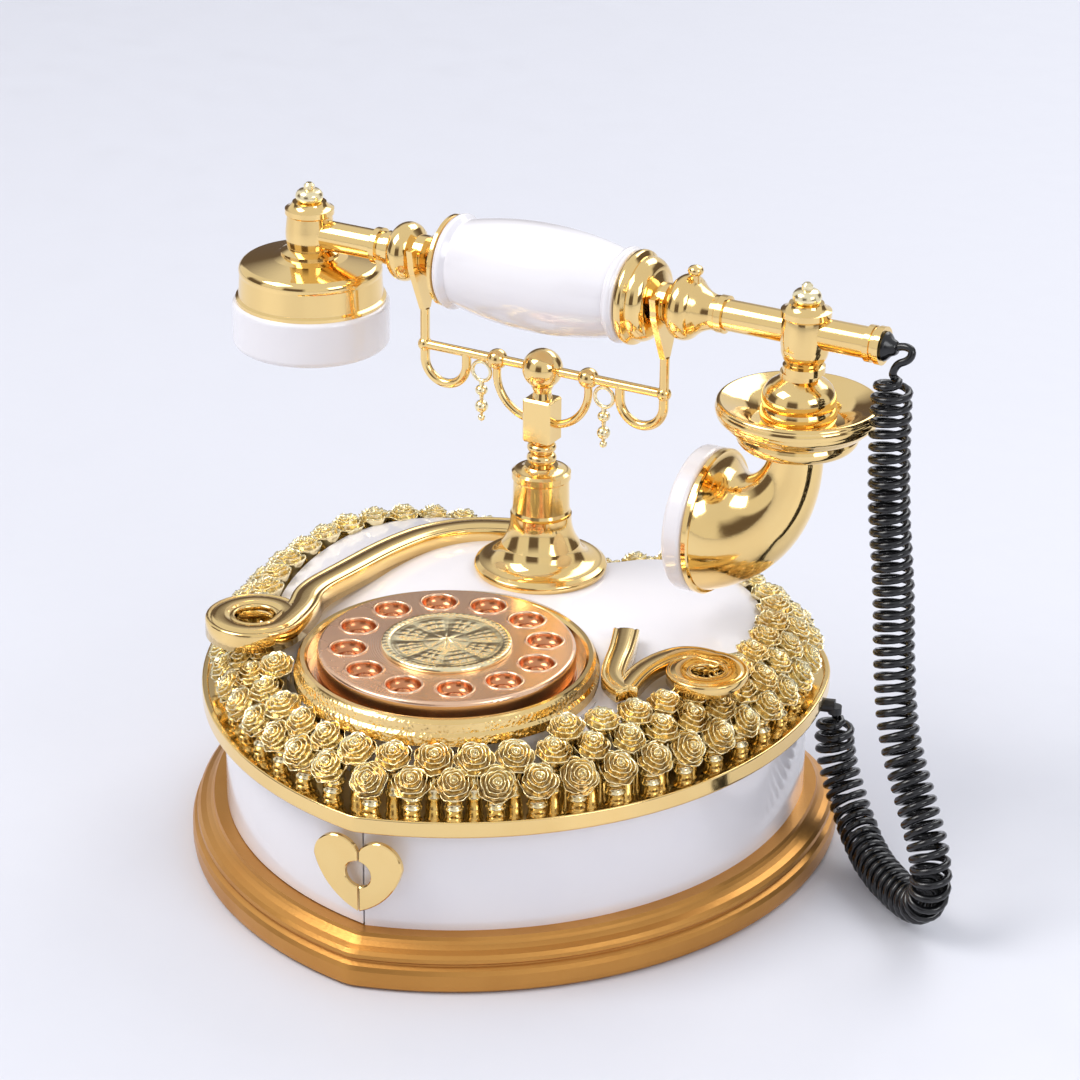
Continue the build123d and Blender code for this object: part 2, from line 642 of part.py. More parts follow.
def scroll(routes, centre, eye_radius, outer_radius, bottom, top):
    """A ribbon along smooth routes, with a round volute, cut to stand on the lid."""
    with BuildPart() as ribbon:
        with BuildSketch(Plane.XY.offset(bottom)):
            for route in routes:
                with BuildLine(mode=Mode.PRIVATE) as line:
                    Spline(*route)
                trace(line.edges(), line_width=SCROLL_WIDTH)
            with Locations(centre):
                Circle(outer_radius)
                Circle(eye_radius, mode=Mode.SUBTRACT)
        extrude(amount=top - bottom)
        add(lid_envelope.part, mode=Mode.SUBTRACT)
        with BuildSketch(Plane.XY.offset(bottom)):
            with Locations((0, DIAL_Y)):
                Circle(BEZEL_RADIUS + 0.1)
            with Locations(COLUMN):
                Circle(21.5)
        extrude(amount=top - bottom, mode=Mode.SUBTRACT)
    return ribbon.part


LEFT_VOLUTE = (-62.0, -34.0)
RIGHT_VOLUTE = (75.0, -6.0)
left_route = [(-9, 61), (-24, 58), (-38, 47), (-47, 30), (-52, 8), (-54, -12), (-51.5, -30)]
save(scroll([left_route], LEFT_VOLUTE, 4.0, 15.5, 76.2, 83.0), "left_scroll")

right_inner = [(42, 6), (47, -4), (51, -18), (58, -27)]
right_outer = [(58, -27), (58.5, -14), (61, 0), (68, 6)]
save(scroll([right_inner, right_outer], RIGHT_VOLUTE, 3.6, 13.5, 76.2, 80.5), "right_scroll")

# ---------------------------------------------------------------- bell-shaped column
with BuildPart() as bell_flare:
    add(column_piece([
        (COLUMN_BORE, 78.5), (20.4, 78.5), (20.9, 79.6), (20.6, 81.4, 0.3), (19.4, 82.2),
        (12.4, 88.0, -1.6), (9.7, 98.0, -0.9), (COLUMN_BORE, 98.0),
    ]))
    add(lid_envelope.part, mode=Mode.SUBTRACT)
save(bell_flare.part, "bell_flare")

bell_neck = column_piece([
    (COLUMN_BORE, 98.0), (9.0, 98.0), (9.4, 98.9), (9.0, 99.8), (8.8, 109.6), (9.3, 110.2),
    (9.3, 112.2), (8.4, 112.9), (5.2, 114.4, -0.4), (COLUMN_BORE, 114.4),
])
save(bell_neck, "bell_neck")

column_beads = column_piece([
    (COLUMN_BORE, 114.4), (3.2, 114.4), (3.2, 115.0), (3.2, 118.6, 1.5), (3.2, 118.9),
    (3.2, 122.0, 1.4), (3.2, 122.6), (COLUMN_BORE, 122.6),
])
save(column_beads, "column_beads")

BLOCK_WIDTH, BLOCK_DEPTH = 9.7, 8.4
BLOCK_BOTTOM, BLOCK_TOP = 122.6, 137.0
with BuildPart() as column_block:
    with BuildSketch(Plane(origin=station(0, BLOCK_BOTTOM), x_dir=ALONG, z_dir=(0, 0, 1))):
        Rectangle(BLOCK_WIDTH, BLOCK_DEPTH)
    extrude(amount=BLOCK_TOP - BLOCK_BOTTOM)
    chamfer(column_block.edges(), 0.6)
    add(column_piece([(0, BLOCK_TOP - 1), (3.4, BLOCK_TOP - 1), (2.8, BLOCK_TOP + 2),
                      (3.6, BAR_Z - 5.4), (0, BAR_Z - 5.4)]))
    add(column_piece([(0, BLOCK_BOTTOM), (COLUMN_BORE, BLOCK_BOTTOM), (COLUMN_BORE, 134.0),
                      (0, 134.0)]), mode=Mode.SUBTRACT)
save(column_block.part, "column_block")

ROD_FOOT, ROD_HEAD = BODY_TOP + 0.5, 134.0
column_rod = column_piece([
    (0, ROD_FOOT), (COLUMN_BORE - CLEARANCE, ROD_FOOT), (COLUMN_BORE - CLEARANCE, ROD_HEAD), (0, ROD_HEAD),
])
save(column_rod, "column_rod")

with BuildPart() as column_nut:
    with BuildSketch(Plane(origin=(0, COLUMN_Y, TRAY_TOP))):
        RegularPolygon(4.6, 6)
        Circle(COLUMN_BORE, mode=Mode.SUBTRACT)
    extrude(amount=3.2)
save(column_nut.part, "column_nut")

# ---------------------------------------------------------------- cradle
BAR_RADIUS = 1.5
BALL_RADIUS = 6.4
BAR_END = 25.5
KNOB_S, KNOB_RADIUS = 16.0, 3.3
HOOK_INNER, HOOK_OUTER = 27.0, 42.0
HOOK_CENTRE_Z = 142.3
FORK_Z = 158.5            # where the upright ends in the fork
WAIST_RADIUS = 6.2        # the handset's waists, which rest in the forks
FORK_INNER, FORK_OUTER = WAIST_RADIUS + 0.15, WAIST_RADIUS + 2.8
FORK_THICK = 2.0

with BuildPart() as cradle_ball:
    with Locations(station(0, BAR_Z)):
        Sphere(BALL_RADIUS)
    bar_line = Plane(origin=station(-10, BAR_Z), x_dir=ACROSS, z_dir=ALONG)
    with BuildSketch(bar_line):
        Circle(BAR_RADIUS + 0.02)
    extrude(amount=20, mode=Mode.SUBTRACT)
    add(column_block.part, mode=Mode.SUBTRACT)
save(cradle_ball.part, "cradle_ball")

with BuildPart() as cradle_bar:
    with BuildSketch(Plane(origin=station(-BAR_END, BAR_Z), x_dir=ACROSS, z_dir=ALONG)):
        Circle(BAR_RADIUS)
    extrude(amount=2 * BAR_END)
save(cradle_bar.part, "cradle_bar")

# a knob is a disc segment turned about the bar, bored to slide over it
KNOB_BORE = BAR_RADIUS + 0.02
KNOB_HALF = 2.9
bar_front = Plane(origin=station(0, BAR_Z), x_dir=ALONG, z_dir=-ACROSS)
bar_axis = Axis(station(0, BAR_Z), ALONG)
with BuildPart() as bar_knobs:
    for side in (-1, 1):
        left, right = side * KNOB_S - KNOB_HALF, side * KNOB_S + KNOB_HALF
        rise = KNOB_RADIUS - KNOB_BORE
        add(turned([(left, KNOB_BORE, rise), (right, KNOB_BORE)], bar_front, bar_axis, Vector(0, 1)))
save(bar_knobs.part, "bar_knobs")


def hook(side):
    """A U-shaped hook with its crossbar and the upright that carries the fork."""
    middle = (HOOK_INNER + HOOK_OUTER) / 2
    bend = (HOOK_OUTER - HOOK_INNER) / 2
    with BuildPart() as piece:
        with BuildLine(FACE):
            upright = Line((side * HOOK_OUTER, FORK_Z), (side * HOOK_OUTER, HOOK_CENTRE_Z))
            ThreePointArc(upright @ 1, (side * middle, HOOK_CENTRE_Z - bend),
                          (side * HOOK_INNER, HOOK_CENTRE_Z))
            Line((side * HOOK_INNER, HOOK_CENTRE_Z), (side * HOOK_INNER, BAR_Z))
        with BuildSketch(Plane(origin=station(side * HOOK_OUTER, FORK_Z), z_dir=(0, 0, -1))):
            Circle(BAR_RADIUS)
        sweep()
        with BuildSketch(Plane(origin=station(side * BAR_END, BAR_Z), x_dir=ACROSS, z_dir=ALONG * side)):
            Circle(BAR_RADIUS)
        extrude(amount=HOOK_OUTER - BAR_END)
        with Locations(station(side * HOOK_OUTER, BAR_Z)):
            Sphere(2.3)
    return piece.part


save(hook(-1), "left_hook")
save(hook(1), "right_hook")

with BuildPart() as braces:
    for side in (-1, 1):
        top = (side * KNOB_S, BAR_Z - KNOB_RADIUS + 0.3)
        foot = (side * (BLOCK_WIDTH / 2 - 0.1), 129.0)
        with BuildLine(FACE) as curve:
            bend = ThreePointArc(top, (side * 12.8, 133.2), foot)
        with BuildSketch(Plane(origin=bend @ 0, z_dir=bend % 0)):
            Circle(1.3)
        sweep(path=curve.line)
    add(bar_knobs.part, mode=Mode.SUBTRACT)
    add(column_block.part, mode=Mode.SUBTRACT)
save(braces.part, "cradle_braces")


def fork(side):
    """The Y-shaped fork on top of an upright, in which a waist of the handset rests."""
    low = FORK_Z - HANDSET_Z
    with BuildPart() as prongs:
        back = Plane(origin=station(side * HOOK_OUTER - FORK_THICK / 2, HANDSET_Z), x_dir=ACROSS, z_dir=ALONG)
        with BuildSketch(back):
            Circle(FORK_OUTER)
            with BuildLine():
                Polyline((-1.7, low), (1.7, low), (7.8, -4.5), (-7.8, -4.5), close=True)
            make_face()
            with BuildLine():
                Polyline((-FORK_OUTER, 0), (FORK_OUTER, 0), (FORK_OUTER + 0.8, 4.0),
                         (-FORK_OUTER - 0.8, 4.0), close=True)
            make_face()
            with Locations((0, 14.0)):
                Rectangle(40, 20, mode=Mode.SUBTRACT)
            Circle(FORK_INNER, mode=Mode.SUBTRACT)
            with Locations((0, 5.0)):
                Rectangle(2 * FORK_INNER, 10, mode=Mode.SUBTRACT)
        extrude(amount=FORK_THICK)
    return prongs.part


with BuildPart() as cradle_forks:
    add(fork(-1))
    add(fork(1))
save(cradle_forks.part, "cradle_forks")

RING_S, RING_Z, RING_RADIUS, RING_WIRE = 21.6, 141.4, 3.2, 0.6
with BuildPart() as pendants:
    for side in (-1, 1):
        with BuildSketch(Plane(origin=station(side * RING_S, RING_Z + RING_RADIUS), x_dir=ACROSS, z_dir=ALONG)):
            Circle(RING_WIRE)
        revolve(axis=Axis(station(side * RING_S, RING_Z), ACROSS))
        add(post_piece([
            (0, RING_Z - RING_RADIUS), (0.8, RING_Z - RING_RADIUS), (0.8, 136.6), (0.8, 133.6, 1.2),
            (0.6, 131.6), (0.6, 127.6, 1.5), (0.5, 126.8), (0.5, 124.8, 0.7), (0, 124.4),
        ], side * RING_S))
    add(cradle_bar.part, mode=Mode.SUBTRACT)
save(pendants.part, "pendants")

# ---------------------------------------------------------------- handset
TIE_REACH = 56.0
tie_rod = handset_piece([(-TIE_REACH, 0), (-TIE_REACH, TIE_RADIUS), (TIE_REACH, TIE_RADIUS), (TIE_REACH, 0)])
save(tie_rod, "tie_rod")

TIE_BORE = TIE_RADIUS + 0.02
grip = handset_piece([
    (-31.5, TIE_BORE), (-31.5, 13.4), (-30.6, 14.6, 0.3), (-28.6, 14.6, 0.5), (-27.6, 13.6),
    (26.6, 13.4, 3.4), (27.6, 14.4), (29.6, 14.4, 0.5), (30.5, 13.2, 0.3), (30.5, TIE_BORE),
])
save(grip, "grip")


# each cup runs from the grip to a waist, which rests in the cradle's fork
left_cup = handset_piece([
    (-31.5, TIE_BORE), (-31.5, 12.8), (-32.0, CUP_RADIUS), (-33.0, CUP_RADIUS), (-35.0, 11.2, -0.5),
    (-40.4, WAIST_RADIUS, -0.6), (-43.6, WAIST_RADIUS), (-43.6, TIE_BORE),
])
save(left_cup, "left_cup")

right_cup = handset_piece([
    (30.5, TIE_BORE), (30.5, 12.8), (31.4, CUP_RADIUS), (33.6, CUP_RADIUS, 0.3), (34.4, 13.0),
    (39.4, 9.4, 1.4), (40.6, WAIST_RADIUS), (43.6, WAIST_RADIUS), (43.6, TIE_BORE),
])
save(right_cup, "right_cup")

left_bead = handset_piece([
    (-53.2, TIE_BORE), (-53.2, 5.4), (-51.6, 7.8), (-45.0, 8.0, 1.5), (-43.6, 6.0), (-43.6, TIE_BORE),
])
save(left_bead, "left_bead")

STUD_S = 51.5
with BuildPart() as right_bead:
    add(handset_piece([
        (43.6, TIE_BORE), (43.6, 6.0), (45.4, 8.2), (52.6, 8.4, 1.9), (53.6, 7.6),
        (58.4, 5.4, -0.4), (58.4, TIE_BORE),
    ]))
    add(post_piece([(0, HANDSET_Z + 8), (1.6, HANDSET_Z + 8), (1.4, HANDSET_Z + 10.6),
                    (1.4, HANDSET_Z + 13.4, 1.0), (0, HANDSET_Z + 13.9)], STUD_S))
save(right_bead.part, "right_bead")

ROD_BAND_RADIUS = ROD_RADIUS + 1.0
left_rod = handset_piece([
    (-53.2, 0), (-53.2, 5.4), (-55.0, 5.4), (-55.0, ROD_RADIUS), (-57.2, ROD_RADIUS),
    (-57.4, ROD_BAND_RADIUS), (-59.4, ROD_BAND_RADIUS), (-59.6, ROD_RADIUS),
    (EAR_S, ROD_RADIUS), (EAR_S, 0),
])
right_rod = handset_piece([
    (58.4, 0), (58.4, 5.4), (60.0, 5.6), (60.2, ROD_BAND_RADIUS), (62.4, ROD_BAND_RADIUS),
    (62.6, ROD_RADIUS), (ROD_END_S - 5.2, ROD_RADIUS), (ROD_END_S - 5.0, ROD_BAND_RADIUS - 0.2),
    (ROD_END_S - 3.2, ROD_BAND_RADIUS - 0.2), (ROD_END_S - 3.0, ROD_RADIUS + 0.3),
    (ROD_END_S - 2.0, ROD_RADIUS + 0.3), (ROD_END_S - 1.8, ROD_BAND_RADIUS),
    (ROD_END_S, ROD_BAND_RADIUS), (ROD_END_S, 0),
])

with BuildPart() as left_rod_bored:
    add(left_rod)
    add(tie_rod, mode=Mode.SUBTRACT)
with BuildPart() as right_rod_bored:
    add(right_rod)
    add(tie_rod, mode=Mode.SUBTRACT)


def post(s, points):
    """A turned post with the rod passing through it."""
    with BuildPart() as piece:
        add(post_piece(points, s))
        add(left_rod_bored.part, mode=Mode.SUBTRACT)
        add(right_rod_bored.part, mode=Mode.SUBTRACT)
    return piece.part


save(left_rod_bored.part, "left_rod")
save(right_rod_bored.part, "right_rod")

EARPIECE_TOP = 169.0
save(post(EAR_S, [
    (0, EARPIECE_TOP), (9.4, EARPIECE_TOP), (9.4, 170.2), (7.2, 171.2), (7.6, 178.0, 0.3),
    (7.2, 182.0), (7.8, 182.6), (7.8, 184.2), (5.4, 186.4, -0.4), (0, 186.4),
]), "earpiece_post")

save(post(MOUTH_S, [
    (0, 163.2), (6.4, 163.2), (6.4, 165.4), (5.4, 166.0), (7.2, 171.0, 0.5), (7.0, 180.4, 0.4),
    (7.6, 181.0), (7.6, 182.8), (5.2, 185.0, -0.4), (0, 185.0),
]), "mouthpiece_post")

with BuildPart() as post_finials:
    for s, foot in ((EAR_S, 186.4), (MOUTH_S, 185.0)):
        add(post_piece([
            (0, foot), (3.4, foot), (4.4, foot + 1.8, 0.3), (3.2, foot + 3.8, 0.3),
            (1.8, foot + 4.2), (1.7, foot + 5.4), (0.9, foot + 6.2), (0, foot + 6.2),
        ], s))
save(post_finials.part, "post_finials")

save(post_piece([
    (0, 154.2), (24.0, 154.2), (24.0, 155.2), (23.1, 155.8), (22.7, 163.0), (21.2, 166.6, 0.8),
    (12.0, 168.2),
    (9.4, EARPIECE_TOP), (0, EARPIECE_TOP),
], EAR_S), "earpiece_shell")

save(post_piece([
    (0, 142.6), (16.0, 142.6), (19.6, 139.2), (23.0, 139.2), (25.1, 141.2, 0.6), (25.1, 152.6),
    (23.8, 154.2, 0.4), (0, 154.2),
], EAR_S), "earpiece_cap")

# the microphone end: a bulb in a stepped dish, then a horn that turns to face the earpiece
FLANGE_RADIUS = 24.7
DISH_S = 86.8
save(post_piece([
    (0, 138.0), (8.4, 138.0), (9.0, 139.0), (14.5, 139.4), (18.6, 143.2, 1.3), (18.0, 144.4),
    (23.0, 147.6, 0.6), (FLANGE_RADIUS, 150.0, 0.4), (FLANGE_RADIUS, 152.4, 0.3), (23.4, 153.8, 0.5),
    (20.4, 152.6), (14.0, 147.0, -0.8), (10.4, 146.4), (11.0, 152.6, 1.0), (8.6, 159.6, 1.2),
    (6.0, 161.4), (6.0, 163.2), (0, 163.2),
], DISH_S), "mouthpiece_flange")

MOUTH_RADIUS = 22.7
MOUTH_FACE_S = 62.0
MOUTH_Z = 108.6
HORN_TOP_Z = 138.0
HORN_STEPS = 6
HORN_TOP_RADIUS = 8.2
with BuildPart() as mouthpiece_horn:
    for step in range(HORN_STEPS + 1):
        share = step / HORN_STEPS
        bend = radians(90 * share)
        centre = station(MOUTH_FACE_S + (DISH_S - MOUTH_FACE_S) * cos(bend),
                         HORN_TOP_Z - (HORN_TOP_Z - MOUTH_Z) * sin(bend))
        heading = ALONG * -sin(bend) + Vector(0, 0, -cos(bend))
        radius = HORN_TOP_RADIUS + (MOUTH_RADIUS - 1.2 - HORN_TOP_RADIUS) * share ** 1.7
        with BuildSketch(Plane(origin=centre, x_dir=ACROSS, z_dir=heading)):
            Circle(radius)
    loft()
    mouth_plane = Plane(origin=station(MOUTH_FACE_S, MOUTH_Z), x_dir=ACROSS, z_dir=-ALONG)
    with BuildSketch(mouth_plane):
        Circle(MOUTH_RADIUS)
    extrude(amount=2.4)
    chamfer(mouthpiece_horn.edges().filter_by(GeomType.CIRCLE).sort_by(SortBy.RADIUS)[-2:], 0.5)
save(mouthpiece_horn.part, "mouthpiece_horn")

with BuildPart() as mouthpiece_cap:
    with BuildSketch(mouth_plane.offset(2.4)):
        Circle(MOUTH_RADIUS)
    extrude(amount=6.6)
    fillet(mouthpiece_cap.edges().filter_by(GeomType.CIRCLE), 1.6)
    with BuildSketch(mouth_plane.offset(2.4 + 6.6)):
        Circle(15.5)
    extrude(amount=-2.0, taper=30, mode=Mode.SUBTRACT)
save(mouthpiece_cap.part, "mouthpiece_cap")

# ---------------------------------------------------------------- cord and its two ends
GLAND_S = ROD_END_S + 2.4
cord_top = Vector(*CORD_ROUTE[-1])
with BuildPart() as handset_gland:
    with BuildSketch(Plane(origin=station(ROD_END_S, HANDSET_Z), x_dir=ACROSS, z_dir=ALONG)):
        Circle(ROD_RADIUS - 0.3)
    extrude(amount=4.2)
    with BuildSketch(Plane(origin=(station(GLAND_S, 0).X, station(GLAND_S, 0).Y, cord_top.Z))):
        Circle(1.7)
    extrude(amount=HANDSET_Z - cord_top.Z)
save(handset_gland.part, "handset_gland")

socket_end = Vector(*CORD_ROUTE[0])
socket_reach = (socket_end - SOCKET_WALL).dot(OUTWARD)
with BuildPart() as cord_socket:
    with BuildSketch(Plane(origin=SOCKET_WALL - OUTWARD * 2 * WALL, z_dir=OUTWARD)):
        Circle(SOCKET_RADIUS - 0.02)
    extrude(amount=2 * WALL + socket_reach)
    with BuildSketch(Plane(origin=socket_end)):
        Circle(SOCKET_RADIUS - 0.02)
    extrude(amount=SOCKET_Z - socket_end.Z)
save(cord_socket.part, "cord_socket")


def bend_radii(route):
    """The largest smooth radius at each corner: 0.45 of the shorter run, by the turn."""
    points = [Vector(*p) for p in route]
    runs = [end - start for start, end in zip(points, points[1:])]
    radii = []
    for before, after in zip(runs, runs[1:]):
        half_turn = radians(before.get_angle(after)) / 2
        radii.append(0.45 * min(before.length, after.length) / (sin(half_turn) / cos(half_turn)))
    return radii


radii = bend_radii(CORD_ROUTE)
print("cord bend radii:", [round(r, 1) for r in radii])
with BuildPart() as curly_cord:
    with BuildLine() as route:
        FilletPolyline(*CORD_ROUTE, radius=radii)
    with BuildSketch(Plane(origin=route.line @ 0, z_dir=route.line % 0)):
        Circle(CORD_RADIUS)
    sweep()
save(curly_cord.part, "curly_cord")
cord_length = route.wire().length
print(f"cord centre line {cord_length:.1f} mm, volume over section x length "
      f"{curly_cord.part.volume / (pi * CORD_RADIUS ** 2 * cord_length):.4f}")
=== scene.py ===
"""Looks of the French-style cradle telephone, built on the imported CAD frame. Metres, +Z up."""
import json
from math import atan2, cos, pi, radians, sin

import bpy
import numpy as np
from mathutils import Matrix, Vector


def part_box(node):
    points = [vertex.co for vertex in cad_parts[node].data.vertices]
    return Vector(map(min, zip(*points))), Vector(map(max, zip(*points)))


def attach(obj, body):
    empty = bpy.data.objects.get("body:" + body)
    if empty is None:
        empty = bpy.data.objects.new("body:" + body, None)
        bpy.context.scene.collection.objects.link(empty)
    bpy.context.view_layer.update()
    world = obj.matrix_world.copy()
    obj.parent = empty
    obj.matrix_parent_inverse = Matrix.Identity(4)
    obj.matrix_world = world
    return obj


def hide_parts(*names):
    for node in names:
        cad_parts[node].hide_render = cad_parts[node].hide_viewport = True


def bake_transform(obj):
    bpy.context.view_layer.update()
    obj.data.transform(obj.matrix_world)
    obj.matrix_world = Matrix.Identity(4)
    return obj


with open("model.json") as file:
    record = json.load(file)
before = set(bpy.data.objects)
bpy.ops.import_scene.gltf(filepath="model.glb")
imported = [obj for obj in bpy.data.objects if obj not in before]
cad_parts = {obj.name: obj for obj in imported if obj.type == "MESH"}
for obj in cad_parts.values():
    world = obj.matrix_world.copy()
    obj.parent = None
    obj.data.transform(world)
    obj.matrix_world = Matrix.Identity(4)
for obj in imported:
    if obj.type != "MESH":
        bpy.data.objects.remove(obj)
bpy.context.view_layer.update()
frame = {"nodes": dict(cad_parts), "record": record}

nodes = frame["nodes"]
dice = np.random.default_rng(7)
MM = 0.001


# ---------------------------------------------------------------- camera
CAMERA_PLACE = Vector((0.41595, -0.89872, 0.55513))
CAMERA_LOOK = Vector((-0.36872, 0.83246, -0.41358))
CAMERA_AZIMUTH = radians(23.89)
CAMERA_ROLL = radians(0.63)
CAMERA_LENS = 119.19

level = Vector((cos(CAMERA_AZIMUTH), sin(CAMERA_AZIMUTH), 0))
upright = level.cross(CAMERA_LOOK)
right = level * cos(CAMERA_ROLL) + upright * sin(CAMERA_ROLL)
up = upright * cos(CAMERA_ROLL) - level * sin(CAMERA_ROLL)
camera = bpy.data.objects.new("camera", bpy.data.cameras.new("camera"))
camera.data.lens = CAMERA_LENS
camera.data.sensor_width = 36.0
camera.matrix_world = Matrix.Translation(CAMERA_PLACE) @ Matrix(
    (right, up, -CAMERA_LOOK)).transposed().to_4x4()
bpy.context.scene.collection.objects.link(camera)
bpy.context.scene.camera = camera


# ---------------------------------------------------------------- shapes
def mesh_piece(name, verts, faces, body, material):
    """A smooth-shaded mesh piece that rides on a body."""
    mesh = bpy.data.meshes.new(name)
    mesh.from_pydata([tuple(v) for v in verts], [], faces)
    mesh.validate()
    for polygon in mesh.polygons:
        polygon.use_smooth = True
    piece = bpy.data.objects.new(name, mesh)
    bpy.context.scene.collection.objects.link(piece)
    mesh.materials.append(material)
    if body:
        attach(piece, body)
    return piece


def strip_faces(rows, columns, closed, start=0):
    """Quads between rows of points; closed joins each row's last point to its first."""
    faces = []
    for r in range(rows - 1):
        for c in range(columns if closed else columns - 1):
            a = start + r * columns + c
            b = start + r * columns + (c + 1) % columns
            faces.append((a, b, b + columns, a + columns))
    return faces


def carried_frames(line):
    """Two directions across a line at every point, carried along it without twist."""
    tangents = np.gradient(line, axis=0)
    tangents /= np.linalg.norm(tangents, axis=1)[:, None]
    side = np.cross(tangents[0], (0.0, 0.0, 1.0))
    if np.linalg.norm(side) < 1e-3:
        side = np.cross(tangents[0], (0.0, 1.0, 0.0))
    sides = []
    for tangent in tangents:
        side = side - tangent * np.dot(side, tangent)
        side = side / np.linalg.norm(side)
        sides.append(side)
    sides = np.array(sides)
    return sides, np.cross(tangents, sides)


def tube(line, radii, sides):
    """Points and faces of a tube round a line, closed at both ends."""
    across, over = carried_frames(line)
    verts = []
    for centre, a, b, radius in zip(line, across, over, radii):
        for k in range(sides):
            turn = 2 * pi * k / sides
            verts.append(centre + radius * (a * cos(turn) + b * sin(turn)))
    faces = strip_faces(len(line), sides, True)
    faces.append(tuple(reversed(range(sides))))
    faces.append(tuple(range(len(verts) - sides, len(verts))))
    return verts, faces


def even_steps(points, count):
    """The points of a polyline resampled to equal steps along it."""
    points = np.array(points, float)
    reach = np.concatenate([[0], np.cumsum(np.linalg.norm(np.diff(points, axis=0), axis=1))])
    wanted = np.linspace(0, reach[-1], count)
    return np.stack([np.interp(wanted, reach, points[:, k]) for k in range(3)], axis=1), reach[-1]


def nurbs_line(route, steps):
    """The points of a smooth spline with these control points."""
    curve = bpy.data.curves.new("route", "CURVE")
    curve.dimensions = "3D"
    curve.resolution_u = steps
    spline = curve.splines.new("NURBS")
    spline.points.add(len(route) - 1)
    for point, place in zip(spline.points, route):
        point.co = (*place, 1.0)
    spline.order_u = 3
    spline.use_endpoint_u = True
    holder = bpy.data.objects.new("route", curve)
    bpy.context.scene.collection.objects.link(holder)
    bpy.context.view_layer.update()
    line = bpy.data.meshes.new_from_object(holder)
    points = [tuple(v.co) for v in line.vertices]
    bpy.data.objects.remove(holder)
    bpy.data.curves.remove(curve)
    bpy.data.meshes.remove(line)
    return points


# ---------------------------------------------------------------- materials
def shader_node(tree, kind, inputs=(), **settings):
    """A node with its settings and inputs; an input is a value or another node's output."""
    node = tree.nodes.new(kind)
    for key, value in settings.items():
        setattr(node, key, value)
    for key, value in dict(inputs).items():
        if isinstance(value, bpy.types.NodeSocket):
            tree.links.new(value, node.inputs[key])
        else:
            node.inputs[key].default_value = value
    return node


def blend_colours(tree, share, first, second):
    """The colour part-way from first to second."""
    node = shader_node(tree, "ShaderNodeMix", {0: share}, data_type="RGBA")
    for index, value in ((6, first), (7, second)):
        if isinstance(value, bpy.types.NodeSocket):
            tree.links.new(value, node.inputs[index])
        else:
            node.inputs[index].default_value = (*value, 1.0)
    return node.outputs[2]


def remap(tree, value, low, high, to_low, to_high):
    """value moved from one range to another, and clamped."""
    return shader_node(tree, "ShaderNodeMapRange", {
        "Value": value, "From Min": low, "From Max": high, "To Min": to_low, "To Max": to_high,
    }).outputs["Result"]


def finish(name, colour, stain, metallic, roughness, spread=0.05, grain=900.0, bump=0.02,
           hollow_shade=None, coat=0.0, stain_share=0.35, relief=None):
    """A material with uneven colour, uneven roughness, a fine grain and, when given a hollow colour,
    painted shade darkening its hollows.
    """
    material = bpy.data.materials.new(name)
    material.use_nodes = True
    tree = material.node_tree
    shader = tree.nodes["Principled BSDF"]
    place = shader_node(tree, "ShaderNodeTexCoord").outputs["Object"]
    blotch = shader_node(tree, "ShaderNodeTexNoise", {"Vector": place, "Scale": 45.0, "Detail": 5.0})
    grains = shader_node(tree, "ShaderNodeTexNoise", {"Vector": place, "Scale": grain, "Detail": 3.0})
    share = remap(tree, blotch.outputs["Fac"], 0.42, 0.70, 0.0, stain_share)
    tint = blend_colours(tree, share, colour, stain)
    # painted shade: concave places, found by pointiness, are darkened towards the hollow colour
    if hollow_shade:
        bend = shader_node(tree, "ShaderNodeNewGeometry").outputs["Pointiness"]
        hollow_shade_share = remap(tree, bend, 0.40, 0.50, 0.9, 0.0)
        tint = blend_colours(tree, hollow_shade_share, tint, hollow_shade)
    tree.links.new(tint, shader.inputs["Base Color"])
    shader.inputs["Metallic"].default_value = metallic
    shader.inputs["Coat Weight"].default_value = coat
    shader.inputs["Coat Roughness"].default_value = 0.06
    gloss = remap(tree, blotch.outputs["Fac"], 0.3, 0.7, roughness - spread, roughness + spread)
    tree.links.new(gloss, shader.inputs["Roughness"])
    heights = shader_node(tree, "ShaderNodeBump", {
        "Height": grains.outputs["Fac"], "Strength": bump, "Distance": 0.0004})
    if relief:
        raised = relief(tree, place)
        heights = shader_node(tree, "ShaderNodeBump", {
            "Height": raised, "Strength": 0.35, "Distance": 0.0006, "Normal": heights.outputs["Normal"]})
    tree.links.new(heights.outputs["Normal"], shader.inputs["Normal"])
    return material


DIAL_CENTRE = Vector((0, -27.9 * MM, 0))


def dial_polar(tree, place):
    """Distance from the dial's axis, in metres, and bearing round it, in radians."""
    local = shader_node(tree, "ShaderNodeVectorMath", {0: place, 1: DIAL_CENTRE}, operation="SUBTRACT")
    split = shader_node(tree, "ShaderNodeSeparateXYZ", {0: local.outputs[0]})
    bearing = shader_node(tree, "ShaderNodeMath", {0: split.outputs["Y"], 1: split.outputs["X"]},
                          operation="ARCTAN2").outputs[0]
    flat = shader_node(tree, "ShaderNodeCombineXYZ", {"X": split.outputs["X"], "Y": split.outputs["Y"]})
    reach = shader_node(tree, "ShaderNodeVectorMath", {0: flat.outputs[0]}, operation="LENGTH")
    return reach.outputs["Value"], bearing, split.outputs["Z"]


